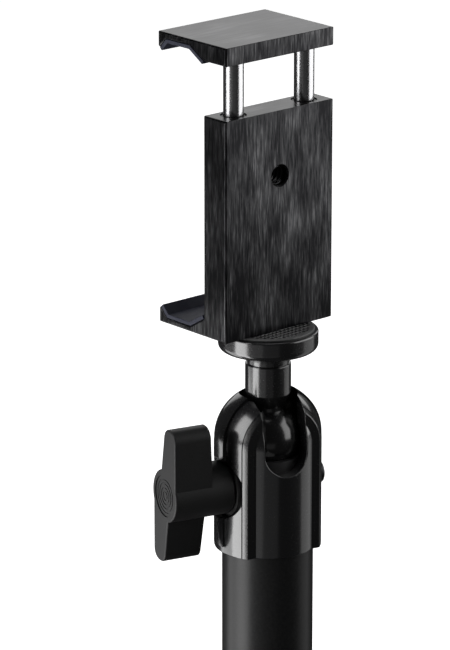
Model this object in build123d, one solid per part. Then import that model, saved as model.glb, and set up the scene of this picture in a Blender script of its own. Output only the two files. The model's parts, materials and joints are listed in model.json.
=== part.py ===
from build123d import *
from math import sqrt
import os

# A sprung phone clamp on a small ball head, standing on the top section of a stand column.
# Millimetres. The origin is the centre of the column's lower end and +Z is up. The clamp's
# rear plate faces -Y and its jaws reach towards +Y. The ball head is made in its own frame,
# with the ball's centre as origin, its drop slot facing -Y and its knob towards -X, and is
# then turned about the column.

# Stand column
tube_diameter = 23.6
tube_wall = 1.5
tube_length = 100.0
end_plug_length = 22.0
end_thread_bore = 8.5
top_plug_length = 16.0
top_spigot_length = 12.0
top_plug_bore = 6.0

# Ball head housing: a round shell round the ball, thicker over its two side bands
head_turn = -15.1
shell_wall = 3.7
dome_drop = 0.6
band_rise = 1.65
band_half_width = 9.25
band_groove_inset = 1.3
band_groove_width = 0.3
band_groove_depth = 0.25
keel_rise = 0.6
keel_half_width = 2.6
keel_stop = 2.0
band_edge = 0.3
pocket_edge = 0.25
bar_pocket_edge = 0.15
housing_edge = 0.2
skirt_below_bar = 17.5
mouth_play = 1.7
slot_play = 0.1
slot_centre_drop = 1.8

# Ball, stem and platform
ball_radius = 8.5
throat_radius = 4.2
throat_length = 0.9
flare_length = 3.55
neck_radius = 5.9
neck_length = 7.95
neck_edge = 0.35
groove_depth = 0.45
groove_height = 1.2
platform_radius = 12.85
platform_round = 1.6
platform_cone_height = 2.4
platform_round_height = 1.7
platform_wall_height = 3.5
platform_edge = 0.5
platform_rim = 1.0
platform_pad_thickness = 1.15
platform_pad_recess = 0.6
stud_radius = 3.175
stud_in_stem = 8.0
stud_in_clamp = 7.0
stud_key_width = 3.0
stud_key_depth = 3.0

# Lock: the knob's nut draws a wedge bar sideways, and the wedge lifts the cup to the ball
bar_below_ball = 3.6
bar_radius = 3.1
bar_proud = 1.35
bar_end_round = 0.6
bar_thread_radius = 2.5
bar_thread_start = 7.0
bar_thread_length = 19.0
bar_travel = 0.8
wedge_half_length = 5.5
wedge_high = 2.9
wedge_low = 1.2
wedge_gap = 0.08
cup_below_throat = 0.6
cup_below_bar = 0.5
pocket_play = 1.15
pocket_depth = 0.8
bar_pocket_play = 0.8
bar_pocket_depth = 1.45
washer_play = 0.5
washer_thickness = 0.8
boss_radius = 6.95
boss_length = 6.75
boss_round = 1.0
wing_length = 10.45
wing_side = 6.4
wing_height = 18.5
wing_root_out = 1.9
wing_tip_in = 0.2
wing_tip_round = 2.9
wing_draft = 1.0
knob_edge = 0.45
knob_insert_wall = 1.5
knob_insert_length = 12.0
cap_rim = 1.5
cap_recess = 1.5
cap_thickness = 1.2
cap_ring_count = 4
cap_ring_width = 0.4
cap_ring_depth = 0.15

# Clamp
clamp_width = 36.3
clamp_depth = 25.8
plate_thickness = 8.5
plate_height = 57.6
jaw_thickness = 4.7
jaw_floor = 1.6
lip_height = 4.2
lip_top_width = 0.7
slope_run = 5.2
lip_slope_run = 2.4
jaw_gap = 13.9
pad_thickness = 1.0
clamp_edge = 0.35
rear_hole_radius = 2.6
rear_hole_below_top = 17.0
rear_hole_chamfer = 0.4
rod_inset = 6.3
rod_radius = 2.6
rod_in_jaw = 3.0
rod_shoulder = 1.0
rod_bore_floor = 3.6
rod_end_play = 1.0
collar_height = 3.0
bush_wall = 0.75
bush_length = 6.0
bush_recess = 0.3
spring_wire = 0.5
spring_turns = 14

# Fits
fixed_gap = 0.02
running_gap = 0.05
ball_gap = 0.12
cup_gap = 0.1
face_gap = 0.05
pin_gap = 0.1
loose_gap = 0.3

# Places that follow from the sizes above
tube_radius = tube_diameter / 2
tube_bore = tube_radius - tube_wall
core_radius = ball_radius + shell_wall
band_radius = core_radius + band_rise
cup_bore = ball_radius + ball_gap
bar_axis_z = -ball_radius - bar_below_ball
housing_depth = skirt_below_bar - bar_axis_z
ball_height = tube_length + housing_depth

throat_foot = sqrt(ball_radius**2 - throat_radius**2)
throat_top = throat_foot + throat_length
neck_bottom = throat_top + flare_length
neck_top = neck_bottom + neck_length
cone_bottom = neck_top + groove_height
cone_top = cone_bottom + platform_cone_height
wall_bottom = cone_top + platform_round_height
platform_top = wall_bottom + platform_wall_height
platform_pad_floor = platform_top - platform_pad_recess
platform_pad_radius = platform_radius - platform_rim
clamp_base = ball_height + platform_pad_floor + platform_pad_thickness + face_gap

pocket_floor = core_radius - pocket_depth
bar_pocket_floor = band_radius - bar_pocket_depth
pocket_radius = boss_radius + pocket_play
bar_end = band_radius + bar_proud
knob_start = pocket_floor + washer_thickness + 2 * face_gap
wing_start = knob_start + boss_length
knob_end = wing_start + wing_length
cap_radius = boss_radius - cap_rim
wedge_middle = (wedge_high + wedge_low) / 2
wedge_slope = (wedge_high - wedge_low) / (2 * wedge_half_length)

rear = -plate_thickness / 2
jaw_base = plate_height + jaw_gap
rod_side = clamp_width / 2 - rod_inset
rod_bore_radius = rod_radius + bush_wall
rod_end_height = rod_bore_floor + jaw_gap + rod_end_play
rod_places = {"left": -rod_side, "right": rod_side}

head_place = Pos(0, 0, ball_height) * Rot(0, 0, head_turn)
bar_place = head_place * Pos(0, 0, bar_axis_z)
clamp_place = Pos(0, 0, clamp_base)
jaw_place = Pos(0, 0, clamp_base + jaw_base + jaw_thickness)


def post(radius, low, high):
    """A cylinder about Z from one height to another."""
    return Pos(0, 0, (low + high) / 2) * Cylinder(radius, high - low)


def bar(radius, start, end, height=0.0):
    """A cylinder along X from start to end, with its axis at the given height."""
    return Pos((start + end) / 2, 0, height) * Rot(0, 90, 0) * Cylinder(radius, abs(end - start))


def slab(half_width, centre_y=0.0, size=100.0):
    """A thick sheet across Y, much larger than the head."""
    return Pos(0, centre_y, 0) * Box(size, 2 * half_width, size)


def outer_edges(shape, axis):
    """The edges of the shape's last face along an axis."""
    return shape.faces().sort_by(axis)[-1].edges()


# ---- stand column

def column_tube():
    return post(tube_radius, 0, tube_length) - post(tube_bore, -1, tube_length + 1)


def end_plug():
    plug = post(tube_bore - fixed_gap, 0, end_plug_length)
    return plug - post(end_thread_bore / 2, -1, end_plug_length + 1)


def top_plug():
    plug = post(tube_bore - fixed_gap, tube_length - top_plug_length, tube_length)
    plug += post(cup_bore - fixed_gap, tube_length, tube_length + top_spigot_length)
    return plug - post(top_plug_bore, tube_length - top_plug_length - 1, tube_length + top_spigot_length + 1)


# ---- ball head housing

def domed_post(radius):
    """A cylinder that ends in a dome, a little below the ball's centre."""
    return post(radius, -housing_depth, -dome_drop) + Pos(0, 0, -dome_drop) * Sphere(radius)


def side_bands():
    """The thicker bands over the two sides, with their long edges rounded."""
    bands = domed_post(band_radius) & slab(band_half_width)
    return fillet(bands.faces().filter_by(Axis.Y).edges(), band_edge)


def band_grooves():
    """The cut for a fine groove beside each edge of the bands."""
    skin = domed_post(band_radius + 1) - domed_post(band_radius - band_groove_depth)
    place = band_half_width - band_groove_inset
    return [skin & slab(band_groove_width / 2, side * place) for side in (-1, 1)]


def keel():
    """The low rib along the middle of the bands."""
    rib = domed_post(band_radius + keel_rise) & slab(keel_half_width)
    rib -= post(band_radius + 1, -housing_depth - 1, keel_stop - housing_depth)
    return rib - Sphere(core_radius) - post(core_radius, -housing_depth - 1, 0)


def drop_slot():
    """The U-shaped slot that lets the stem drop to the side."""
    half = neck_radius + slot_play
    deep = 2 * band_radius
    foot = Pos(0, -deep / 2, -slot_centre_drop) * Rot(90, 0, 0) * Cylinder(half, deep)
    shaft = Pos(0, -deep / 2, deep / 2 - slot_centre_drop) * Box(2 * half, deep, deep)
    return foot + shaft


def cavity():
    """The ball's seat, the bore below it, the stem's mouth and the drop slot."""
    bore = Sphere(cup_bore) + post(cup_bore, -housing_depth - 1, 0)
    return bore + post(neck_radius + mouth_play, 0, 2 * band_radius) + drop_slot()


def pocket_rim(body, radius, floor):
    """The outer edges of a round pocket in a side of the housing."""

    def on_rim(edge):
        middle = edge @ 0.5
        from_axis = sqrt(middle.Y**2 + (middle.Z - bar_axis_z) ** 2)
        return abs(middle.X) > floor + fixed_gap and abs(from_axis - radius) < fixed_gap

    return body.edges().filter_by(GeomType.LINE, reverse=True).filter_by(on_rim)


def outer_rim(body):
    """The slot's edges on the outside of the housing, and the outline of its foot."""

    def on_outside(edge):
        middle = edge @ 0.5
        reach = sqrt(middle.X**2 + middle.Y**2 + max(middle.Z + dome_drop, 0) ** 2)
        in_slot = middle.Y < 0 and abs(middle.X) < neck_radius + slot_play + fixed_gap
        at_foot = middle.Z < -housing_depth + fixed_gap
        return reach > core_radius - fixed_gap and (at_foot or in_slot and middle.Z > -core_radius)

    return body.edges().filter_by(on_outside)


def housing():
    knob_pocket = bar(pocket_radius, -pocket_floor, -2 * band_radius, bar_axis_z)
    bar_pocket = bar(bar_radius + bar_pocket_play, bar_pocket_floor, 2 * band_radius, bar_axis_z)
    body = domed_post(core_radius) + side_bands() - knob_pocket - bar_pocket
    body = fillet(pocket_rim(body, pocket_radius, pocket_floor), pocket_edge)
    body = fillet(pocket_rim(body, bar_radius + bar_pocket_play, bar_pocket_floor), bar_pocket_edge)
    body -= cavity()
    body = fillet(outer_rim(body), housing_edge)
    body -= band_grooves()
    body += keel() - knob_pocket - bar_pocket - cavity()
    body -= bar(bar_thread_radius + pin_gap, 0, -2 * band_radius, bar_axis_z)
    body -= bar(bar_radius + running_gap, 0, 2 * band_radius, bar_axis_z)
    return head_place * body


# ---- ball, stem and platform

def ball_stem():
    stem = Sphere(ball_radius) + post(throat_radius, throat_foot - 1, throat_top)
    flare = Cone(throat_radius, neck_radius, neck_bottom - throat_top)
    stem += Pos(0, 0, (throat_top + neck_bottom) / 2) * flare
    neck = post(neck_radius, neck_bottom, neck_top)
    stem += fillet(outer_edges(neck, Axis.Z), neck_edge)
    return head_place * (stem - post(stud_radius + fixed_gap, neck_top - stud_in_stem, neck_top + 1))


def platform():
    waist = neck_radius - groove_depth
    cone_radius = platform_radius - platform_round
    pad_side = platform_pad_radius + fixed_gap
    with BuildPart() as disc:
        with BuildSketch(Plane.XZ):
            with BuildLine():
                Polyline(
                    (0, neck_top),
                    (waist, neck_top),
                    (waist, cone_bottom),
                    (neck_radius, cone_bottom),
                    (cone_radius, cone_top),
                )
                EllipticalCenterArc(
                    (cone_radius, wall_bottom),
                    platform_round,
                    platform_round_height,
                    start_angle=270,
                    arc_size=90,
                )
                Polyline(
                    (platform_radius, wall_bottom),
                    (platform_radius, platform_top),
                    (pad_side, platform_top),
                    (pad_side, platform_pad_floor),
                    (0, platform_pad_floor),
                    (0, neck_top),
                )
            make_face()
        revolve(axis=Axis.Z)
        rim = disc.edges().filter_by(GeomType.CIRCLE).group_by(SortBy.RADIUS)[-1].sort_by(Axis.Z)[-1]
        fillet(rim, platform_edge)
    return head_place * (disc.part - post(stud_radius + fixed_gap, 0, 2 * platform_top))


def platform_pad():
    pad = post(platform_pad_radius, platform_pad_floor, platform_pad_floor + platform_pad_thickness)
    return head_place * (pad - post(stud_radius + fixed_gap, 0, 2 * platform_top))


def stud():
    low = neck_top - stud_in_stem + fixed_gap
    high = clamp_base - ball_height + stud_in_clamp
    key = extrude(RegularPolygon(stud_key_width / 2, 6, major_radius=False), stud_key_depth)
    return head_place * (post(stud_radius, low, high) - Pos(0, 0, high - stud_key_depth) * key)


# ---- lock

def wedge_bar():
    """A round bar with a sloping flat on top, drawn towards -X by the knob's nut."""
    body = bar(bar_radius, -bar_thread_start, bar_end)
    body = fillet(outer_edges(body, Axis.X), bar_end_round)
    body += bar(bar_thread_radius, -bar_thread_start - bar_thread_length, -bar_thread_start)
    flat = Polyline(
        (-wedge_half_length, wedge_low),
        (wedge_half_length, wedge_high),
        (wedge_half_length, 2 * bar_radius),
        (-wedge_half_length, 2 * bar_radius),
        close=True,
    )
    body -= extrude(Plane.XZ * make_face(flat), bar_radius * 2, both=True)
    return bar_place * body


def ball_cup():
    """The friction cup below the ball; its underside rides on the bar's sloping flat."""
    top = -throat_radius - cup_below_throat
    cup = post(cup_bore - cup_gap, bar_axis_z - cup_below_bar, top) - Sphere(cup_bore)
    reach = cup_bore + 1
    tongue = wedge_half_length - bar_travel - loose_gap
    clear = bar_radius + loose_gap
    ceiling = Polyline(
        (-reach, -reach),
        (-reach, clear),
        (-tongue, clear),
        (-tongue, wedge_middle - wedge_slope * tongue + wedge_gap),
        (wedge_half_length, wedge_high + wedge_gap),
        (wedge_half_length, clear),
        (reach, clear),
        (reach, -reach),
        close=True,
    )
    channel = extrude(Plane.XZ * make_face(ceiling), clear, both=True)
    return head_place * (cup - Pos(0, 0, bar_axis_z) * channel)


def thrust_washer():
    inner = -pocket_floor - face_gap
    ring = bar(pocket_radius - washer_play, inner, inner - washer_thickness)
    return bar_place * (ring - bar(bar_thread_radius + pin_gap, 0, -knob_end))


def knob_outline():
    """The knob's S-shaped end: a round hub with one wing up and one wing down."""
    wing_root = sqrt(boss_radius**2 - wing_root_out**2)
    wing_foot = sqrt(boss_radius**2 - wing_side**2)
    wing = make_face(
        Polyline(
            (wing_side, -wing_foot),
            (wing_side, wing_height),
            (wing_tip_in, wing_height),
            (-wing_root_out, wing_root),
            close=True,
        )
    )
    tips = wing.vertices().group_by(Axis.Y)[-1]
    wing = fillet(tips, wing_tip_round)
    return Circle(boss_radius) + wing + Rot(0, 0, 180) * wing


def t_knob():
    end_plane = Plane((-wing_start, 0, 0), x_dir=(0, -1, 0), z_dir=(-1, 0, 0))
    wings = extrude(end_plane * knob_outline(), knob_end - wing_start)
    draft = Polyline(
        (-wing_start, boss_radius),
        (-wing_start - wing_draft, 2 * wing_height),
        (wing_start, 2 * wing_height),
        (wing_start, -2 * wing_height),
        (-wing_start - wing_draft, -2 * wing_height),
        (-wing_start, -boss_radius),
        close=True,
    )
    wings -= extrude(Plane.XZ * make_face(draft), wing_height, both=True)
    wings = fillet(wings.faces().sort_by(Axis.X)[0].edges(), knob_edge)
    boss = bar(boss_radius, -knob_start, -wing_start - 1)
    boss = fillet(outer_edges(boss, Axis.X), boss_round)
    knob = wings + boss
    insert_radius = bar_thread_radius + knob_insert_wall
    knob -= bar(insert_radius + fixed_gap, -knob_start, -knob_start - knob_insert_length)
    knob -= bar(bar_thread_radius + pin_gap, 0, -knob_end + cap_recess)
    knob -= bar(cap_radius, -knob_end + cap_recess, -knob_end - 1)
    return bar_place * knob


def knob_insert():
    radius = bar_thread_radius + knob_insert_wall
    insert = bar(radius, -knob_start, -knob_start - knob_insert_length)
    insert -= bar(bar_thread_radius + running_gap, 0, -knob_end)
    return bar_place * insert


def knob_cap():
    """A disc with fine rings turned in its face, pressed into the end of the knob."""
    inner = -knob_end + cap_recess
    outer = inner - cap_thickness
    cap = bar(cap_radius - fixed_gap, inner, outer)
    pitch = cap_radius / (cap_ring_count + 1)
    for number in range(1, cap_ring_count + 1):
        ring = bar(number * pitch + cap_ring_width / 2, outer + cap_ring_depth, outer - 1)
        cap -= ring - bar(number * pitch - cap_ring_width / 2, outer + 1, outer - 2)
    return bar_place * cap


# ---- clamp

def jaw_line():
    """The grip's line from the plate to the lip, as (Y from the rear, height above the jaw's back)."""
    slope_end = plate_thickness + slope_run
    lip_top = clamp_depth - lip_top_width
    return [
        (plate_thickness, jaw_thickness),
        (slope_end, jaw_floor),
        (lip_top - lip_slope_run, jaw_floor),
        (lip_top, lip_height),
    ]


def across(outline):
    """Extrude a closed outline of (Y from the rear, Z) points over the clamp's width."""
    face = make_face(Polyline(*[(rear + y, z) for y, z in outline], close=True))
    return extrude(Plane.YZ * face, clamp_width / 2, both=True)


def grip_pad():
    """The rubber strip that lines a jaw, as thick all along."""
    line = Polyline(*[(rear + y, z) for y, z in jaw_line()])
    band = offset(line, pad_thickness, kind=Kind.INTERSECTION, side=Side.LEFT)
    return extrude(Plane.YZ * make_face(band), clamp_width / 2, both=True)


def jaw_outline(land_height):
    """A jaw's outline; the plate end of it rises to the given height."""
    lip = [(clamp_depth, lip_height - lip_top_width / 2), (clamp_depth, 0), (0, 0)]
    return [(0, land_height), (plate_thickness, land_height), *jaw_line(), *lip]


def bevelled(shape):
    """The shape with a fine bevel round its two end faces."""
    ends = shape.faces().filter_by(Axis.X)
    return chamfer(ends.edges(), clamp_edge)


def clamp_body():
    body = across(jaw_outline(plate_height))
    body = bevelled(body)
    for side in rod_places.values():
        body -= Pos(side, 0, 0) * post(rod_bore_radius, rod_bore_floor, plate_height + 1)
    body -= post(stud_radius + running_gap, -1, stud_in_clamp + 1)
    hole = Rot(90, 0, 0) * Cylinder(rear_hole_radius, 2 * plate_thickness)
    mouth = Cone(rear_hole_radius + rear_hole_chamfer, rear_hole_radius, rear_hole_chamfer)
    hole_height = plate_height - rear_hole_below_top
    body -= Pos(0, 0, hole_height) * hole
    body -= Pos(0, rear + rear_hole_chamfer / 2, hole_height) * Rot(-90, 0, 0) * mouth
    return clamp_place * body


def upper_jaw():
    jaw = across(jaw_outline(jaw_thickness)[2:] + [(0, jaw_thickness)])
    jaw = bevelled(jaw)
    for side in rod_places.values():
        jaw -= Pos(side, 0, 0) * post(rod_radius + fixed_gap, jaw_thickness - rod_in_jaw, jaw_thickness + 1)
    return jaw_place * mirror(jaw, Plane.XY)


def lower_pad():
    return clamp_place * grip_pad()


def upper_pad():
    return jaw_place * mirror(grip_pad(), Plane.XY)


def guide_rod(side):
    shoulder = rod_end_height + collar_height
    rod = post(rod_radius, shoulder, jaw_base + rod_in_jaw - fixed_gap)
    rod += post(rod_radius - rod_shoulder, rod_end_height, shoulder)
    return clamp_place * Pos(side, 0, 0) * rod


def rod_collar(side):
    shoulder = rod_end_height + collar_height
    ring = post(rod_bore_radius - pin_gap, rod_end_height, shoulder)
    ring -= post(rod_radius - rod_shoulder + fixed_gap, 0, plate_height)
    return clamp_place * Pos(side, 0, 0) * ring


def rod_bush(side):
    top = plate_height - bush_recess
    ring = post(rod_bore_radius - fixed_gap, top - bush_length, top)
    return clamp_place * Pos(side, 0, 0) * (ring - post(rod_radius + running_gap, 0, 2 * plate_height))


def rod_spring(side):
    """A compression spring round the rod, between its collar and the bush."""
    low = rod_end_height + collar_height + spring_wire / 2
    high = plate_height - bush_recess - bush_length - spring_wire / 2
    radius = (rod_radius + rod_bore_radius) / 2
    pitch = (high - low - 2 * face_gap) / spring_turns
    coil = Helix(pitch, pitch * spring_turns, radius)
    section = Plane(coil @ 0, z_dir=coil % 0) * Circle(spring_wire / 2)
    return clamp_place * Pos(side, 0, low + face_gap) * sweep(section, path=coil, is_frenet=True)


parts = {
    "column_tube": column_tube(),
    "end_plug": end_plug(),
    "top_plug": top_plug(),
    "housing": housing(),
    "ball_stem": ball_stem(),
    "platform": platform(),
    "platform_pad": platform_pad(),
    "clamp_stud": stud(),
    "wedge_bar": wedge_bar(),
    "ball_cup": ball_cup(),
    "thrust_washer": thrust_washer(),
    "t_knob": t_knob(),
    "knob_insert": knob_insert(),
    "knob_cap": knob_cap(),
    "clamp_body": clamp_body(),
    "lower_pad": lower_pad(),
    "upper_jaw": upper_jaw(),
    "upper_pad": upper_pad(),
}
for name, side in rod_places.items():
    parts["guide_rod_" + name] = guide_rod(side)
    parts["rod_collar_" + name] = rod_collar(side)
    parts["rod_bush_" + name] = rod_bush(side)
    parts["rod_spring_" + name] = rod_spring(side)

os.makedirs("parts", exist_ok=True)
for name, shape in parts.items():
    export_step(shape, "parts/" + name + ".step")
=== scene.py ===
import json
from math import cos, pi, radians, sin, tau
from typing import NamedTuple

import bmesh
import bpy
from bpy.props import FloatProperty, FloatVectorProperty, PointerProperty
from mathutils import Matrix, Vector


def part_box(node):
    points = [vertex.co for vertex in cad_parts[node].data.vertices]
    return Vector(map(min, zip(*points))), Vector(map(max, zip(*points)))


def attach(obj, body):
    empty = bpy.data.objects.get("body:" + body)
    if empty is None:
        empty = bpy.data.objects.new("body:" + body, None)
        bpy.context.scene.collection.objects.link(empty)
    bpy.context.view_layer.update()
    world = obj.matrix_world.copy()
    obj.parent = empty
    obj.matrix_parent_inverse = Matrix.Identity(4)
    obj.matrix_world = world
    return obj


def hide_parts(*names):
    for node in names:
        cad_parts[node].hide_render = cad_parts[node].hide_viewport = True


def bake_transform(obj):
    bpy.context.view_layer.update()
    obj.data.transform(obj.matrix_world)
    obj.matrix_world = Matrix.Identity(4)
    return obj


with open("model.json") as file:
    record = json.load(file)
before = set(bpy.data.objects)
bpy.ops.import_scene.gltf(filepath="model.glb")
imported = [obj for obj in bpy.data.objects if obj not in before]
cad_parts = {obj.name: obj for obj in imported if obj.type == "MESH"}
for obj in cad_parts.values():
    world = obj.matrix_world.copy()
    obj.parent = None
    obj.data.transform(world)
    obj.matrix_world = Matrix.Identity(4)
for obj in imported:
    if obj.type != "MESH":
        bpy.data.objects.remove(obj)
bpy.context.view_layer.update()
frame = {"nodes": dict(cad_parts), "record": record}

bl_info = {
    "name": "Phone clamp on a ball head",
    "version": (1, 0, 0),
    "blender": (4, 5, 0),
    "location": "3D View > Sidebar > Phone Clamp",
    "description": "Dresses the packed frame of a sprung phone clamp on a small ball head",
    "category": "Object",
}

# The frame is in metres: +Z is up the column, and the clamp's rear plate faces -Y.
NODES = frame["nodes"]
RECORD = frame["record"]
SLOT_OF = {part["node"]: part["material_slot"] for part in RECORD["subparts"]}
MOUNTS = {mount["name"]: mount for mount in RECORD["mounts"]}
MM = 0.001

# Doubles nearer than this are merged. Faces that differ by less than FLAT are one face, edges
# sharper than CREASE get a bevel, and turned pieces stay smooth up to SOFT_CREASE, in degrees.
WELD = 0.002 * MM
FLAT = 0.5
CREASE = 30
SOFT_CREASE = 35

# Edges of the clamp's metal that are shorter than this belong to a bore.
LONGEST_BORE_EDGE = 3 * MM

# A thread's ridge: how deep it starts as a share of its depth, so that its root is inside the
# wall, and the widths of its root and its crest as shares of the pitch.
RIDGE_DEPTH = 1.04
RIDGE_ROOT = 0.86
RIDGE_CREST = 0.16

# How far the grain of one upright side is moved from the grain of the opposite side.
SIDE_SHIFT = 0.3
FACE_SHIFT = 0.1


def height_of(node, side=1):
    """The top of a CAD node, or its underside where side is 0."""
    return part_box(node)[side][2]


def middle_of(node):
    """The middle of a CAD node's box."""
    low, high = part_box(node)
    return (Vector(low) + Vector(high)) / 2


def reach_of(node):
    """Half the width of a CAD node along X."""
    low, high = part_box(node)
    return (high[0] - low[0]) / 2


# ---- sizes and colours that a user may change


def length(name, description, default, **limits):
    """A size property in metres."""
    return FloatProperty(
        name=name, description=description, default=default, min=0.0, unit="LENGTH", precision=5, **limits
    )


def colour(name, description, default):
    """A colour property."""
    return FloatVectorProperty(
        name=name, description=description, default=default, size=3, min=0.0, max=1.0, subtype="COLOR"
    )


class ClampSizes(bpy.types.PropertyGroup):
    """Sizes of the clamp's pieces."""

    edge: length("Metal edge", "Width of the bright bevel along the clamp's edges", 0.38 * MM)
    bore_edge: length("Bore edge", "Width of the bevel round the bores", 0.12 * MM)
    pad_edge: length("Pad edge", "Rounding of the rubber pads' edges", 0.18 * MM)
    thread_pitch: length("Rear thread pitch", "Rise of the rear thread in one turn", 1.27 * MM)
    spring_wire: length("Spring wire", "Thickness of the springs' wire", 0.5 * MM)
    spring_turns: FloatProperty(
        name="Spring turns", description="Turns of each spring", default=14.0, min=1.0
    )
    thread_depth: length("Rear thread depth", "Height of the rear thread's ridge", 0.28 * MM)


class HeadSizes(bpy.types.PropertyGroup):
    """Sizes of the platform's rubber pad and of the column's lower plug."""

    rib_spacing: length("Rib spacing", "Distance between the rubber pad's ribs", 1.4 * MM)
    rib_width: length("Rib width", "Width of one rib", 0.4 * MM)
    rib_height: length("Rib height", "How far the ribs stand above the field between them", 0.34 * MM)
    margin: length("Margin", "Width of the smooth ring round the ribbed field", 1.35 * MM)
    socket_pitch: length("Socket pitch", "Rise of the column socket's thread in one turn", 1.5 * MM)
    socket_depth: length("Socket thread depth", "Depth of the column socket's thread", 0.75 * MM)


class FinishColours(bpy.types.PropertyGroup):
    """Base colours of the finishes."""

    anodised: colour("Anodised black", "Dark tone of the brushed clamp", (0.010, 0.010, 0.011))
    brushed: colour("Brushed streaks", "Light tone of the brushed clamp", (0.10, 0.10, 0.103))
    navy: colour("Navy rubber", "Colour of the jaw pads", (0.004, 0.006, 0.021))
    gloss: colour("Gloss black", "Colour of the ball head's castings", (0.006, 0.006, 0.0065))
    knob: colour("Knob black", "Colour of the moulded knob", (0.0035, 0.0035, 0.0038))
    powder: colour("Powder black", "Colour of the powder coated column", (0.0035, 0.0035, 0.0037))
    rubber: colour("Black rubber", "Colour of the platform's pad", (0.007, 0.007, 0.007))
    steel: colour("Bright steel", "Colour of the polished guide rods", (0.50, 0.50, 0.51))


def brightness(name, description, default):
    """The brightness of a light's face."""
    return FloatProperty(name=name, description=description, default=default, min=0.0)


class StageSettings(bpy.types.PropertyGroup):
    """The floor and the lights."""

    floor_size: length("Floor size", "Side of the square floor", 24.0)
    floor_colour: colour("Floor colour", "Colour of the floor", (0.86, 0.86, 0.86))
    floor_glow: brightness("Floor glow", "Even light that keeps the floor white", 0.97)
    key: brightness("Left softbox", "Brightness of the main light on the left", 6.5)
    crown: brightness("Upper left softbox", "Brightness of the main light's upper half", 5.0)
    side: brightness("Right softbox", "Brightness of the wide light on the right", 0.6)
    high: brightness("High softbox", "Brightness of the light on the right that starts above the head", 2.3)
    back: brightness("Back wall", "Brightness of the wall that the level faces mirror", 1.3)
    low: brightness("Low card", "Brightness of the low card behind on the left", 2.6)
    fill: brightness("Left fill", "Brightness of the fill between the main light and the camera", 0.45)
    front: brightness("Front fill", "Brightness of the weak light behind the camera", 0.12)
    top: brightness("Overhead light", "Brightness of the light above", 0.8)
    room: brightness("Room", "Brightness of the dim room", 0.03)


# ---- node graphs


def join(tree, socket, value):
    """Sets a socket to a value, or links it where the value is a wire."""
    if isinstance(value, Wire):
        tree.links.new(value.socket, socket)
    else:
        socket.default_value = value


class Wire:
    """A value in a node graph; Python's operators on it add Math nodes."""

    def __init__(self, tree, socket):
        self.tree = tree
        self.socket = socket

    def _math(self, operation, first, second):
        node = self.tree.nodes.new("ShaderNodeMath")
        node.operation = operation
        join(self.tree, node.inputs[0], first)
        join(self.tree, node.inputs[1], second)
        return Wire(self.tree, node.outputs[0])

    def __add__(self, other):
        return self._math("ADD", self, other)

    def __sub__(self, other):
        return self._math("SUBTRACT", self, other)

    def __rsub__(self, other):
        return self._math("SUBTRACT", other, self)

    def __mul__(self, other):
        return self._math("MULTIPLY", self, other)

    def __truediv__(self, other):
        return self._math("DIVIDE", self, other)

    def __pow__(self, other):
        return self._math("POWER", self, other)

    __radd__ = __add__
    __rmul__ = __mul__


class Graph:
    """A node tree under construction."""

    def __init__(self, tree):
        self.tree = tree

    def node(self, kind, settings=None, values=None, out=0):
        """Adds a node: its settings first, then its sockets' values or wires."""
        node = self.tree.nodes.new(kind)
        for name, setting in (settings or {}).items():
            if name == "stops":
                self._set_stops(node.color_ramp, setting)
            else:
                setattr(node, name, setting)
        for key, value in (values or {}).items():
            join(self.tree, node.inputs[key], value)
        return Wire(self.tree, node.outputs[out]) if node.outputs else None

    @staticmethod
    def _set_stops(ramp, stops):
        """Gives a colour ramp its (position, grey) stops."""
        while len(ramp.elements) < len(stops):
            ramp.elements.new(1.0)
        for element, (position, grey) in zip(ramp.elements, stops):
            element.position = position
            element.color = (grey, grey, grey, 1.0)


class Finish(Graph):
    """A material under construction, with one principled shader."""

    def __init__(self, name):
        self.material = bpy.data.materials.new(name)
        self.material.use_nodes = True
        super().__init__(self.material.node_tree)
        self.tree.nodes.clear()
        self.shader = self.tree.nodes.new("ShaderNodeBsdfPrincipled")
        output = self.tree.nodes.new("ShaderNodeOutputMaterial")
        self.tree.links.new(self.shader.outputs["BSDF"], output.inputs["Surface"])

    def set(self, **values):
        """Sets the shader's sockets; an underscore stands for a space in a socket's name."""
        for name, value in values.items():
            join(self.tree, self.shader.inputs[name.replace("_", " ")], value)

    def coordinates(self, scale=(1, 1, 1), place=(0, 0, 0), turn=(0, 0, 0)):
        """Object coordinates in metres, stretched, moved and turned."""
        source = self.node("ShaderNodeTexCoord", out=3)
        return self.mapped(source, scale, place, turn)

    def mapped(self, source, scale, place=(0, 0, 0), turn=(0, 0, 0)):
        settings = {"vector_type": "POINT"}
        values = {"Vector": source, "Location": place, "Rotation": turn, "Scale": scale}
        return self.node("ShaderNodeMapping", settings, values)

    def noise(self, vector, scale=1.0, detail=2.0, roughness=0.5):
        values = {"Vector": vector, "Scale": scale, "Detail": detail, "Roughness": roughness}
        return self.node("ShaderNodeTexNoise", {}, values)

    def ramp(self, value, *stops):
        """A grey ramp of (position, grey) stops over a value."""
        return self.node("ShaderNodeValToRGB", {"stops": stops}, {"Fac": value})

    def mix(self, first, second, factor):
        """Blends two colours by a factor."""
        first, second = ((*c, 1.0) if not isinstance(c, Wire) else c for c in (first, second))
        settings = {"data_type": "RGBA", "blend_type": "MIX"}
        return self.node("ShaderNodeMix", settings, {0: factor, 6: first, 7: second}, out=2)

    def bump(self, height, depth, strength=1.0):
        """Raises the surface by a height from 0 to 1 times a depth in metres."""
        values = {"Height": height, "Distance": depth, "Strength": strength}
        self.set(Normal=self.node("ShaderNodeBump", {}, values))


def lighter(tone, share):
    """A colour moved towards white by a share."""
    return tuple(channel + (1.0 - channel) * share for channel in tone)


def darker(tone, share):
    """A colour with a share of it taken away."""
    return tuple(channel * (1.0 - share) for channel in tone)


# ---- finishes, one for each material slot


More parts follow.
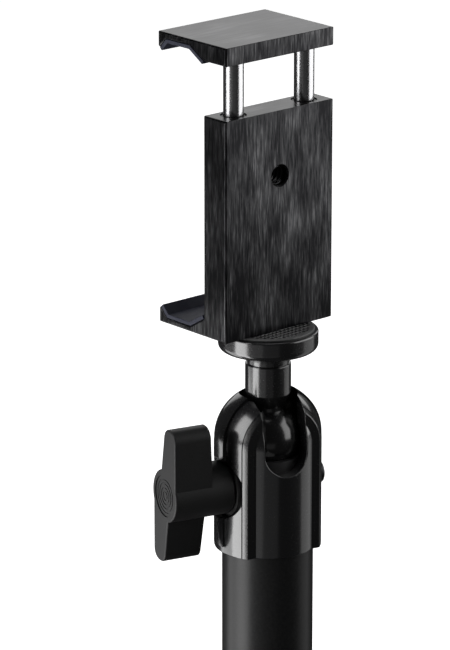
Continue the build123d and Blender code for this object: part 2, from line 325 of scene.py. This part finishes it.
def brushed_black_aluminium(finish, tones):
    """Black anodised aluminium, brushed along the second coordinate of the grain map."""
    grain = finish.node("ShaderNodeUVMap", {"uv_map": "grain"})
    hair = finish.noise(finish.mapped(grain, (2600, 190, 1)), detail=3.0, roughness=0.6)
    band = finish.noise(finish.mapped(grain, (900, 90, 1)), detail=2.0)
    cloud = finish.noise(finish.mapped(grain, (110, 60, 1)), detail=1.0)
    streak = finish.ramp(hair * 0.45 + band * 0.25 + cloud * 0.3, (0.44, 0.0), (0.54, 0.30), (0.64, 1.0))
    finish.set(
        Base_Color=finish.mix(tones.anodised, tones.brushed, streak),
        Metallic=1.0,
        Roughness=0.23 + hair * 0.17,
    )
    finish.bump(hair * 0.6 + band * 0.4, 0.012 * MM, 0.5)


def navy_rubber(finish, tones):
    """Matt navy rubber with a fine grain."""
    speck = finish.noise(finish.coordinates(), scale=2600, detail=3.0)
    cloud = finish.noise(finish.coordinates(), scale=240, detail=2.0)
    finish.set(
        Base_Color=finish.mix(darker(tones.navy, 0.25), lighter(tones.navy, 0.03), cloud),
        Roughness=0.52 + speck * 0.2,
        Specular_IOR_Level=0.25,
    )
    finish.bump(speck, 0.03 * MM, 0.5)


def bright_steel(finish, tones):
    """Polished ground rod, with fine marks running round it."""
    rings = finish.noise(finish.coordinates((60, 60, 5200)), detail=2.0)
    finish.set(
        Base_Color=finish.mix(darker(tones.steel, 0.12), tones.steel, rings),
        Metallic=1.0,
        Roughness=0.19 + rings * 0.08,
    )
    finish.bump(rings, 0.001 * MM, 0.2)


def gloss_black_metal(finish, tones):
    """Black gloss lacquer over a casting, with a trace of orange peel and dust."""
    peel = finish.noise(finish.coordinates(), scale=900, detail=2.0)
    dust = finish.ramp(finish.noise(finish.coordinates(), scale=3800, detail=1.0), (0.70, 0.0), (0.78, 1.0))
    finish.set(
        Base_Color=finish.mix(tones.gloss, lighter(tones.gloss, 0.03), dust * 0.4),
        Roughness=0.19 + peel * 0.06 + dust * 0.15,
        Coat_Weight=0.6,
        Coat_Roughness=0.14,
        IOR=1.55,
    )
    finish.bump(peel, 0.012 * MM, 0.35)


def black_plastic(finish, tones):
    """Moulded black plastic with a fine spark texture."""
    spark = finish.noise(finish.coordinates(), scale=3000, detail=3.0, roughness=0.6)
    flow = finish.noise(finish.coordinates(), scale=160, detail=2.0)
    finish.set(
        Base_Color=finish.mix(darker(tones.knob, 0.2), lighter(tones.knob, 0.012), spark),
        Roughness=0.40 + spark * 0.16 + flow * 0.08,
        Specular_IOR_Level=0.32,
    )
    finish.bump(spark, 0.03 * MM, 0.45)


def black_powder_coat(finish, tones):
    """Satin powder coat with a fine orange peel."""
    peel = finish.noise(finish.coordinates(), scale=1500, detail=3.0, roughness=0.55)
    cloud = finish.noise(finish.coordinates((1, 1, 0.3)), scale=90, detail=2.0)
    finish.set(
        Base_Color=finish.mix(tones.powder, lighter(tones.powder, 0.012), peel),
        Roughness=0.25 + peel * 0.12 + cloud * 0.06,
        Specular_IOR_Level=0.20,
    )
    finish.bump(peel, 0.03 * MM, 0.5)


def black_rubber(finish, tones):
    """Black rubber, the tops of its raised ribs painted lighter as a painted highlight, in patches."""
    speck = finish.noise(finish.coordinates(), scale=3400, detail=3.0)
    cloud = finish.noise(finish.coordinates(), scale=420, detail=3.0)
    height = finish.node("ShaderNodeSeparateXYZ", {}, {"Vector": finish.coordinates()}, out=2)
    top, rib = height_of("platform_pad"), bpy.context.scene.head_sizes.rib_height
    # Painted highlight: the rib tops are painted lighter by their height above the field, patchy where the
    # cloud noise is low.
    painted_rib_highlight = finish.ramp((height - (top - rib)) / rib, (0.15, 0.0), (0.75, 1.0))
    finish.set(
        Base_Color=finish.mix(tones.rubber, lighter(tones.rubber, 0.16), painted_rib_highlight * (cloud * 0.8 + 0.2)),
        Roughness=0.42 + speck * 0.2,
    )
    finish.bump(speck, 0.02 * MM, 0.5)


def turned_metal(finish, tone, roughness):
    """Bare metal with turning marks that run round Z."""
    marks = finish.noise(finish.coordinates((90, 90, 4200)), detail=3.0)
    cloud = finish.noise(finish.coordinates(), scale=300, detail=2.0)
    finish.set(
        Base_Color=finish.mix(darker(tone, 0.25), tone, marks * 0.6 + cloud * 0.4),
        Metallic=1.0,
        Roughness=roughness + marks * 0.15,
    )
    finish.bump(marks, 0.006 * MM, 0.5)


def plain_aluminium(finish, tones):
    turned_metal(finish, (0.70, 0.70, 0.71), 0.26)


def zinc_steel(finish, tones):
    turned_metal(finish, (0.56, 0.57, 0.60), 0.30)


def dark_steel(finish, tones):
    turned_metal(finish, (0.060, 0.060, 0.064), 0.24)


def spring_steel(finish, tones):
    turned_metal(finish, (0.48, 0.47, 0.45), 0.20)


def brass(finish, tones):
    turned_metal(finish, (0.72, 0.52, 0.22), 0.24)


def moulded(finish, tone, roughness):
    """Plain moulded plastic with faint flow marks."""
    flow = finish.noise(finish.coordinates(), scale=380, detail=3.0)
    speck = finish.noise(finish.coordinates(), scale=2800, detail=2.0)
    finish.set(
        Base_Color=finish.mix(darker(tone, 0.15), lighter(tone, 0.02), flow),
        Roughness=roughness + speck * 0.12,
    )
    finish.bump(speck, 0.01 * MM, 0.4)


def acetal(finish, tones):
    moulded(finish, (0.020, 0.020, 0.021), 0.34)


def black_washer(finish, tones):
    moulded(finish, (0.008, 0.008, 0.008), 0.26)


FINISHES = (
    brushed_black_aluminium,
    navy_rubber,
    bright_steel,
    gloss_black_metal,
    black_plastic,
    black_powder_coat,
    black_rubber,
    plain_aluminium,
    zinc_steel,
    dark_steel,
    spring_steel,
    brass,
    acetal,
    black_washer,
)
FINISH_OF = {make.__name__: make for make in FINISHES}


def material(context, slot):
    """The material of a slot, made when it is first asked for."""
    name = slot + "_finish"
    known = bpy.data.materials.get(name)
    if known is None:
        finish = Finish(name)
        FINISH_OF[slot](finish, context.scene.clamp_colours)
        known = finish.material
    return known


def dress(context, *nodes):
    """Gives carried-over CAD nodes the material of their slot."""
    for name in nodes:
        for holder in NODES[name].material_slots:
            holder.material = material(context, SLOT_OF[name])


# ---- mesh helpers


def link_piece(name, mesh, slot, *replaced):
    """Links a finished mesh as a piece that stands for some CAD nodes or for none."""
    piece = bpy.data.objects.new(name, mesh)
    bpy.context.scene.collection.objects.link(piece)
    if replaced:
        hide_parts(*replaced)
    return piece


def add_piece(name, mesh, body, slot, *replaced):
    """Links a finished mesh as a piece that rides on a body."""
    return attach(link_piece(name, mesh, slot, *replaced), body)


def finished_mesh(build, name, surface, crease=SOFT_CREASE):
    """Turns a bmesh into a mesh with smooth faces, sharp creases and one material."""
    mesh = bpy.data.meshes.new(name)
    build.to_mesh(mesh)
    build.free()
    mesh.shade_smooth()
    mesh.set_sharp_from_angle(angle=radians(crease))
    mesh.materials.append(surface)
    return mesh


def welded_copy(node):
    """A bmesh of a CAD node, with its doubles merged and its flat faces made whole."""
    source = NODES[node].data
    plain = bpy.data.meshes.new("welding")
    plain.from_pydata([v.co[:] for v in source.vertices], [], [p.vertices[:] for p in source.polygons])
    build = bmesh.new()
    build.from_mesh(plain)
    bpy.data.meshes.remove(plain)
    bmesh.ops.remove_doubles(build, verts=build.verts, dist=WELD)
    bmesh.ops.dissolve_limit(build, angle_limit=radians(FLAT), verts=build.verts, edges=build.edges)
    return build


def lay_grain(build):
    """Maps the grain: along Z on upright faces, and along X on level ones."""
    layer = build.loops.layers.uv.new("grain")
    for face in build.faces:
        facing = face.normal
        for loop in face.loops:
            x, y, z = loop.vert.co
            if abs(facing.z) > 0.5:
                across, along = y, x
            elif abs(facing.x) > 0.5:
                across, along = y + SIDE_SHIFT * facing.x, z
            else:
                across, along = x + FACE_SHIFT * facing.y, z
            loop[layer].uv = (across, along)


def weigh_edges(build, long_edge, short_edge, shortest):
    """Bevel weights for the convex edges: full on long ones, less on those of bores."""
    weights = build.edges.layers.float.new("bevel_weight_edge")
    for edge in build.edges:
        if len(edge.link_faces) == 2 and edge.is_convex and edge.calc_face_angle() > radians(CREASE):
            edge[weights] = long_edge if edge.calc_length() > shortest else short_edge


def bevel(piece, width, segments):
    """A bevel by edge weight, with even shading across flat faces."""
    modifier = piece.modifiers.new("edges", "BEVEL")
    modifier.limit_method = "WEIGHT"
    modifier.width = width
    modifier.segments = segments
    modifier.harden_normals = True


def lathe(outline, turns=128):
    """Turns a closed outline of (radius, height) points about Z."""
    build = bmesh.new()
    angles = [tau * number / turns for number in range(turns)]
    rings = [[build.verts.new((r * cos(a), r * sin(a), z)) for a in angles] for r, z in outline]
    for ring, following in zip(rings, rings[1:] + rings[:1]):
        for number in range(turns):
            ahead = (number + 1) % turns
            build.faces.new((ring[number], ring[ahead], following[ahead], following[number]))
    bmesh.ops.recalc_face_normals(build, faces=build.faces)
    return build


# ---- geometry node trees


def new_tree(name, inputs):
    """A geometry tree with named size inputs and one geometry output."""
    tree = bpy.data.node_groups.new(name, "GeometryNodeTree")
    for label in inputs:
        tree.interface.new_socket(label, in_out="INPUT", socket_type="NodeSocketFloat")
    tree.interface.new_socket("Geometry", in_out="OUTPUT", socket_type="NodeSocketGeometry")
    entry = tree.nodes.new("NodeGroupInput")
    return Graph(tree), {label: Wire(tree, entry.outputs[label]) for label in inputs}


def close_tree(graph, shape, surface):
    """Ends a tree in Realize Instances and Set Material."""
    real = graph.node("GeometryNodeRealizeInstances", {}, {"Geometry": shape})
    painted = graph.node("GeometryNodeSetMaterial", {}, {"Geometry": real, "Material": surface})
    graph.node("NodeGroupOutput", {}, {"Geometry": painted})
    return graph.tree


def grown_mesh(name, tree, sizes):
    """The plain mesh that a geometry tree makes with those sizes."""
    holder = bpy.data.objects.new(name, bpy.data.meshes.new(name))
    bpy.context.scene.collection.objects.link(holder)
    modifier = holder.modifiers.new("grow", "NODES")
    modifier.node_group = tree
    for item in tree.interface.items_tree:
        if item.in_out == "INPUT":
            modifier[item.identifier] = sizes[item.name]
    ready = holder.evaluated_get(bpy.context.evaluated_depsgraph_get())
    mesh = bpy.data.meshes.new_from_object(ready)
    holder.modifiers.remove(modifier)
    bpy.data.objects.remove(holder)
    return mesh


def level_spiral(graph, radius, turns, rise, resolution):
    """A helix about Z, along which a section stays upright."""
    values = {
        "Resolution": resolution,
        "Rotations": turns,
        "Start Radius": radius,
        "End Radius": radius,
        "Height": rise,
    }
    spiral = graph.node("GeometryNodeCurveSpiral", {}, values)
    return graph.node("GeometryNodeSetCurveNormal", {"mode": "Z_UP"}, {"Curve": spiral})


def swept(graph, path, section):
    """A section carried along a path, with its two ends closed."""
    values = {"Curve": path, "Profile Curve": section, "Fill Caps": True}
    return graph.node("GeometryNodeCurveToMesh", {}, values)


def circle(graph, diameter, resolution):
    """A round section."""
    values = {"Resolution": resolution, "Radius": diameter / 2.0}
    return graph.node("GeometryNodeCurvePrimitiveCircle", {}, values)


def thread_tree(surface):
    """A helical thread ridge inside a bore about Z, rising from the origin."""
    graph, size = new_tree("thread ridge", ("Radius", "Depth", "Pitch", "Length"))
    middle = size["Radius"] - size["Depth"] * 0.5
    spiral = level_spiral(graph, middle, size["Length"] / size["Pitch"], size["Length"], 48)
    section = graph.node(
        "GeometryNodeCurvePrimitiveQuadrilateral",
        {"mode": "TRAPEZOID"},
        {
            "Height": size["Depth"] * RIDGE_DEPTH,
            "Bottom Width": size["Pitch"] * RIDGE_ROOT,
            "Top Width": size["Pitch"] * RIDGE_CREST,
            "Offset": 0.0,
        },
    )
    inward = graph.node("GeometryNodeTransform", {}, {"Geometry": section, "Rotation": (0, 0, pi / 2)})
    return close_tree(graph, swept(graph, spiral, inward), surface)


def coil_tree(surface):
    """A coil of round wire about Z, rising from the origin."""
    graph, size = new_tree("coil", ("Radius", "Wire", "Turns", "Length"))
    spiral = level_spiral(graph, size["Radius"], size["Turns"], size["Length"], 40)
    return close_tree(graph, swept(graph, spiral, circle(graph, size["Wire"], 12)), surface)


def rib_tree(surface):
    """Two crossed sets of rounded ribs that fill a round field."""
    graph, size = new_tree("crossed ribs", ("Field", "Spacing", "Width", "Height"))
    steps = graph.node("ShaderNodeMath", {"operation": "FLOOR"}, {0: size["Field"] / size["Spacing"]})
    first = graph.node("ShaderNodeCombineXYZ", {}, {"X": steps * size["Spacing"] * -1.0})
    stride = graph.node("ShaderNodeCombineXYZ", {}, {"X": size["Spacing"]})
    line = graph.node(
        "GeometryNodeMeshLine",
        {"mode": "OFFSET", "count_mode": "TOTAL"},
        {"Count": steps * 2.0 + 1.0, "Start Location": first, "Offset": stride},
    )
    run = graph.node("GeometryNodeCurvePrimitiveLine", {}, {"Start": (0, -1, 0), "End": (0, 1, 0)})
    level = graph.node("GeometryNodeSetCurveNormal", {"mode": "Z_UP"}, {"Curve": run})
    crown = graph.node(
        "ShaderNodeCombineXYZ", {}, {"X": 1.0, "Y": size["Height"] / size["Width"] * 2.0, "Z": 1.0}
    )
    disc = circle(graph, size["Width"], 10)
    section = graph.node("GeometryNodeTransform", {}, {"Geometry": disc, "Scale": crown})
    rib = swept(graph, level, section)
    place = graph.node("GeometryNodeInputPosition")
    across = graph.node("ShaderNodeSeparateXYZ", {}, {"Vector": place})
    chord = (size["Field"] * size["Field"] - across * across) ** 0.5
    stretch = graph.node("ShaderNodeCombineXYZ", {}, {"X": 1.0, "Y": chord, "Z": 1.0})
    ribs = graph.node(
        "GeometryNodeInstanceOnPoints", {}, {"Points": line, "Instance": rib, "Scale": stretch}
    )
    crossed = graph.node("GeometryNodeTransform", {}, {"Geometry": ribs, "Rotation": (0, 0, pi / 2)})
    both = graph.tree.nodes.new("GeometryNodeJoinGeometry")
    for part in (ribs, crossed):
        graph.tree.links.new(part.socket, both.inputs[0])
    return close_tree(graph, Wire(graph.tree, both.outputs[0]), surface)


# ---- operators, one for each piece or group of like pieces


class PHONE_CLAMP_OT_clamp_metal(bpy.types.Operator):
    """Bevel and brush the clamp's body and its sliding jaw"""

    bl_idname = "phone_clamp.clamp_metal"
    bl_label = "Clamp metal"

    def execute(self, context):
        sizes = context.scene.clamp_sizes
        surface = material(context, "brushed_black_aluminium")
        for node, body in (("clamp_body", "clamp"), ("upper_jaw", "jaw")):
            build = welded_copy(node)
            lay_grain(build)
            weigh_edges(build, 1.0, sizes.bore_edge / sizes.edge, LONGEST_BORE_EDGE)
            mesh = finished_mesh(build, node + "_metal", surface, CREASE)
            piece = add_piece(node + "_metal", mesh, body, "brushed_black_aluminium", node)
            bevel(piece, sizes.edge, 3)
        return {"FINISHED"}


class PHONE_CLAMP_OT_jaw_pads(bpy.types.Operator):
    """Round the edges of the rubber strips that line the jaws"""

    bl_idname = "phone_clamp.jaw_pads"
    bl_label = "Jaw pads"

    def execute(self, context):
        sizes = context.scene.clamp_sizes
        surface = material(context, "navy_rubber")
        for node, body in (("lower_pad", "clamp"), ("upper_pad", "jaw")):
            build = welded_copy(node)
            weigh_edges(build, 1.0, 1.0, 0.0)
            mesh = finished_mesh(build, node + "_rubber", surface, CREASE)
            piece = add_piece(node + "_rubber", mesh, body, "navy_rubber", node)
            bevel(piece, sizes.pad_edge, 3)
        return {"FINISHED"}


class PHONE_CLAMP_OT_guides(bpy.types.Operator):
    """Finish the guide rods, collars and bushes, and wind the springs that the jaw squeezes"""

    bl_idname = "phone_clamp.guides"
    bl_label = "Guide rods and springs"

    def execute(self, context):
        sizes = context.scene.clamp_sizes
        for side in ("left", "right"):
            dress(context, *(part + side for part in ("guide_rod_", "rod_collar_", "rod_bush_")))
            node = "rod_spring_" + side
            foot, head = height_of(node, 0), height_of(node)
            x, y, _ = middle_of(node)
            coil = {
                "Radius": reach_of(node) - sizes.spring_wire / 2,
                "Wire": sizes.spring_wire,
                "Turns": sizes.spring_turns,
                "Length": head - foot - sizes.spring_wire,
            }
            mesh = grown_mesh("spring_" + side, coil_tree(material(context, SLOT_OF[node])), coil)
            mesh.shade_smooth()
            mesh.transform(Matrix.Translation((x, y, foot + sizes.spring_wire / 2)))
            spring = link_piece("spring_" + side, mesh, SLOT_OF[node], node)
            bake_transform(spring)
        return {"FINISHED"}


class PHONE_CLAMP_OT_rear_thread(bpy.types.Operator):
    """Cut the turns of the thread in the clamp's rear hole"""

    bl_idname = "phone_clamp.rear_thread"
    bl_label = "Rear thread"

    def execute(self, context):
        sizes = context.scene.clamp_sizes
        mount = MOUNTS["rear_thread"]
        ridge = {
            "Radius": mount["dims"]["r_mm"] * MM,
            "Depth": sizes.thread_depth,
            "Pitch": sizes.thread_pitch,
            "Length": mount["dims"]["length_mm"] * MM - sizes.thread_pitch,
        }
        surface = material(context, "brushed_black_aluminium")
        mesh = grown_mesh("rear_thread_ridge", thread_tree(surface), ridge)
        inward = -Vector(mount["axis"])
        start = Vector(mount["pos_m"]) + inward * sizes.thread_pitch / 2
        mesh.transform(Matrix.Translation(start) @ inward.to_track_quat("Z", "X").to_matrix().to_4x4())
        add_piece("rear_thread_ridge", mesh, "clamp", "brushed_black_aluminium")
        return {"FINISHED"}


class PHONE_CLAMP_OT_platform(bpy.types.Operator):
    """Finish the platform and stud, and rib the rubber pad between platform and clamp"""

    bl_idname = "phone_clamp.platform"
    bl_label = "Platform and its pad"

    def execute(self, context):
        sizes = context.scene.head_sizes
        dress(context, "platform", "clamp_stud")
        surface = material(context, "black_rubber")
        outside = reach_of("platform_pad")
        inside = reach_of("clamp_stud") + 0.02 * MM
        low, high = height_of("platform_pad", 0), height_of("platform_pad")
        field = outside - sizes.margin
        soft = 0.15 * MM
        askew = radians(3)
        valley = high - sizes.rib_height
        outline = (
            (inside, low),
            (outside, low),
            (outside, high - soft),
            (outside - soft, high),
            (field + soft, high),
            (field, high - soft),
            (field, valley),
            (inside, valley),
        )
        mesh = finished_mesh(lathe(outline), "pad_disc", surface)
        add_piece("pad_disc", mesh, "stem", "black_rubber", "platform_pad")
        ribs = {
            "Field": field,
            "Spacing": sizes.rib_spacing,
            "Width": sizes.rib_width,
            "Height": sizes.rib_height,
        }
        mesh = grown_mesh("pad_ribs", rib_tree(surface), ribs)
        mesh.shade_smooth()
        mesh.transform(Matrix.Translation((0, 0, valley)) @ Matrix.Rotation(askew, 4, "Z"))
        add_piece("pad_ribs", mesh, "stem", "black_rubber")
        return {"FINISHED"}


class PHONE_CLAMP_OT_ball_head(bpy.types.Operator):
    """Finish the ball head's housing and the ball's stem"""

    bl_idname = "phone_clamp.ball_head"
    bl_label = "Ball head"

    def execute(self, context):
        dress(context, "housing", "ball_stem")
        return {"FINISHED"}


class PHONE_CLAMP_OT_lock(bpy.types.Operator):
    """Finish the knob and what it draws on inside the housing"""

    bl_idname = "phone_clamp.lock"
    bl_label = "Lock"

    def execute(self, context):
        dress(context, "t_knob", "knob_cap", "knob_insert", "thrust_washer", "wedge_bar", "ball_cup")
        return {"FINISHED"}


class PHONE_CLAMP_OT_column(bpy.types.Operator):
    """Finish the stand column and cut the thread in its lower plug"""

    bl_idname = "phone_clamp.column"
    bl_label = "Stand column"

    def execute(self, context):
        sizes = context.scene.head_sizes
        dress(context, "column_tube", "top_plug")
        surface = material(context, "plain_aluminium")
        socket = MOUNTS["column_socket"]["dims"]
        outside = reach_of("end_plug")
        low, high = height_of("end_plug", 0), height_of("end_plug")
        root = socket["r_mm"] * MM + sizes.socket_depth
        lip = 0.3 * MM
        outline = (
            (root, low),
            (outside - lip, low),
            (outside, low + lip),
            (outside, high - lip),
            (outside - lip, high),
            (root, high),
        )
        mesh = finished_mesh(lathe(outline), "socket_plug", surface)
        add_piece("socket_plug", mesh, "column", "plain_aluminium", "end_plug")
        ridge = {
            "Radius": root,
            "Depth": sizes.socket_depth,
            "Pitch": sizes.socket_pitch,
            "Length": high - low - 2 * sizes.socket_pitch,
        }
        mesh = grown_mesh("socket_thread", thread_tree(surface), ridge)
        mesh.transform(Matrix.Translation((0, 0, low + sizes.socket_pitch)))
        add_piece("socket_thread", mesh, "column", "plain_aluminium")
        return {"FINISHED"}


# The camera: its place in metres, and its heading and pitch in degrees. It stands at
# CAMERA_AZIMUTH round the object, counted from +X.
CAMERA_PLACE = (-0.6772, -0.7552, 0.4792)
CAMERA_HEADING = 41.261
CAMERA_PITCH = 17.515
CAMERA_AZIMUTH = -131.9
LENS = 231.3
SENSOR_HEIGHT = 36.0


class Stand(NamedTuple):
    """An upright softbox: its angle from the camera in degrees, and its sizes in metres."""

    name: str
    setting: str
    azimuth: float
    distance: float
    width: float
    low: float
    high: float


# Upright faces mirror what lies below the floor, so most of the lights reach down there.
STANDS = (
    Stand("left softbox", "key", azimuth=-64, distance=0.34, width=0.19, low=-0.35, high=0.10),
    Stand("upper left softbox", "crown", azimuth=-64, distance=0.34, width=0.19, low=0.135, high=0.50),
    Stand("right softbox", "side", azimuth=108, distance=0.37, width=0.26, low=-0.35, high=0.06),
    Stand("high softbox", "high", azimuth=92, distance=0.36, width=0.42, low=0.085, high=0.50),
    Stand("low card", "low", azimuth=-96, distance=0.20, width=0.14, low=-0.20, high=0.085),
    Stand("left fill", "fill", azimuth=-30, distance=1.4, width=0.90, low=-0.80, high=-0.25),
    Stand("front fill", "front", azimuth=7, distance=1.4, width=0.94, low=-0.80, high=-0.25),
    Stand("back wall", "back", azimuth=180, distance=1.0, width=1.6, low=0.30, high=0.95),
)
OVERHEAD_PLACE = Vector((0.0, 0.0, 1.2))
OVERHEAD_SIDE = 0.8


def around(azimuth, distance, height):
    """A place round the object, its angle counted from the camera and positive to its right."""
    angle = radians(CAMERA_AZIMUTH + azimuth)
    return Vector((distance * cos(angle), distance * sin(angle), height))


def softbox(name, strength, place, target, width, height):
    """A rectangular light of even brightness that faces a target and isn't seen itself."""
    lamp = bpy.data.lights.new(name, "AREA")
    lamp.shape = "RECTANGLE"
    lamp.size = width
    lamp.size_y = height
    lamp.energy = strength * pi * width * height
    holder = bpy.data.objects.new(name, lamp)
    facing = (Vector(target) - place).to_track_quat("-Z", "Y")
    holder.matrix_world = Matrix.LocRotScale(place, facing, None)
    holder.visible_camera = False
    bpy.context.scene.collection.objects.link(holder)


def standing(stand, strength):
    """An upright softbox between two heights, facing the object's axis."""
    place = around(stand.azimuth, stand.distance, (stand.low + stand.high) / 2)
    softbox(stand.name, strength, place, (0, 0, place.z), stand.width, stand.high - stand.low)


def studio_world(room):
    """A world that is pale to the camera and dim to everything else."""
    world = bpy.data.worlds.new("studio")
    world.use_nodes = True
    graph = Graph(world.node_tree)
    backdrop = world.node_tree.nodes["Background"]
    backdrop.inputs["Color"].default_value = (1.0, 1.0, 1.0, 1.0)
    seen = graph.node("ShaderNodeLightPath")
    join(world.node_tree, backdrop.inputs["Strength"], seen * (1.0 - room) + room)
    return world


class PHONE_CLAMP_OT_stage(bpy.types.Operator):
    """Set up the pale floor, the soft studio light and the camera"""

    bl_idname = "phone_clamp.stage"
    bl_label = "Stage"

    def execute(self, context):
        scene = context.scene
        stage = scene.stage_settings

        ground = bmesh.new()
        bmesh.ops.create_grid(ground, x_segments=8, y_segments=8, size=stage.floor_size / 2)
        finish = Finish("pale_floor")
        cloud = finish.noise(finish.coordinates(), scale=3.0, detail=2.0)
        tone = tuple(stage.floor_colour)
        finish.set(
            Base_Color=finish.mix(darker(tone, 0.01), tone, cloud),
            Roughness=0.8,
            Emission_Color=(1.0, 1.0, 1.0, 1.0),
            Emission_Strength=stage.floor_glow,
        )
        plane = bpy.data.objects.new("floor", finished_mesh(ground, "floor", finish.material))
        scene.collection.objects.link(plane)
        plane.visible_glossy = False
        plane.visible_diffuse = False
        plane.visible_shadow = False

        scene.world = studio_world(stage.room)
        for stand in STANDS:
            standing(stand, getattr(stage, stand.setting))
        softbox("overhead light", stage.top, OVERHEAD_PLACE, (0, 0, 0), OVERHEAD_SIDE, OVERHEAD_SIDE)

        lens = bpy.data.cameras.new("camera")
        lens.sensor_fit = "VERTICAL"
        lens.sensor_height = SENSOR_HEIGHT
        lens.lens = LENS
        lens.clip_end = 100.0
        camera = bpy.data.objects.new("camera", lens)
        heading, pitch = radians(CAMERA_HEADING), radians(CAMERA_PITCH)
        aim = Vector((sin(heading) * cos(pitch), cos(heading) * cos(pitch), -sin(pitch)))
        camera.matrix_world = Matrix.LocRotScale(Vector(CAMERA_PLACE), aim.to_track_quat("-Z", "Y"), None)
        scene.collection.objects.link(camera)
        scene.camera = camera
        scene.view_settings.view_transform = "Standard"
        return {"FINISHED"}


class PHONE_CLAMP_PT_panel(bpy.types.Panel):
    """Lists the steps that dress the frame"""

    bl_idname = "PHONE_CLAMP_PT_panel"
    bl_label = "Phone Clamp"
    bl_space_type = "VIEW_3D"
    bl_region_type = "UI"
    bl_category = "Phone Clamp"

    def draw(self, context):
        for group in SETTINGS:
            box = self.layout.box()
            for name in group.__annotations__:
                box.prop(getattr(context.scene, SETTINGS[group]), name)
        for step in STEPS:
            self.layout.operator(step.bl_idname)


SETTINGS = {
    ClampSizes: "clamp_sizes",
    HeadSizes: "head_sizes",
    FinishColours: "clamp_colours",
    StageSettings: "stage_settings",
}
STEPS = (
    PHONE_CLAMP_OT_stage,
    PHONE_CLAMP_OT_column,
    PHONE_CLAMP_OT_ball_head,
    PHONE_CLAMP_OT_lock,
    PHONE_CLAMP_OT_platform,
    PHONE_CLAMP_OT_clamp_metal,
    PHONE_CLAMP_OT_rear_thread,
    PHONE_CLAMP_OT_guides,
    PHONE_CLAMP_OT_jaw_pads,
)


def register():
    for kind in (*SETTINGS, *STEPS, PHONE_CLAMP_PT_panel):
        bpy.utils.register_class(kind)
    for group, name in SETTINGS.items():
        setattr(bpy.types.Scene, name, PointerProperty(type=group))


def unregister():
    for name in SETTINGS.values():
        delattr(bpy.types.Scene, name)
    for kind in reversed((*SETTINGS, *STEPS, PHONE_CLAMP_PT_panel)):
        bpy.utils.unregister_class(kind)


def main():
    register()
    bpy.ops.phone_clamp.stage()
    bpy.ops.phone_clamp.column()
    bpy.ops.phone_clamp.ball_head()
    bpy.ops.phone_clamp.lock()
    bpy.ops.phone_clamp.platform()
    bpy.ops.phone_clamp.clamp_metal()
    bpy.ops.phone_clamp.rear_thread()
    bpy.ops.phone_clamp.guides()
    bpy.ops.phone_clamp.jaw_pads()


if __name__ == "__main__":
    main()
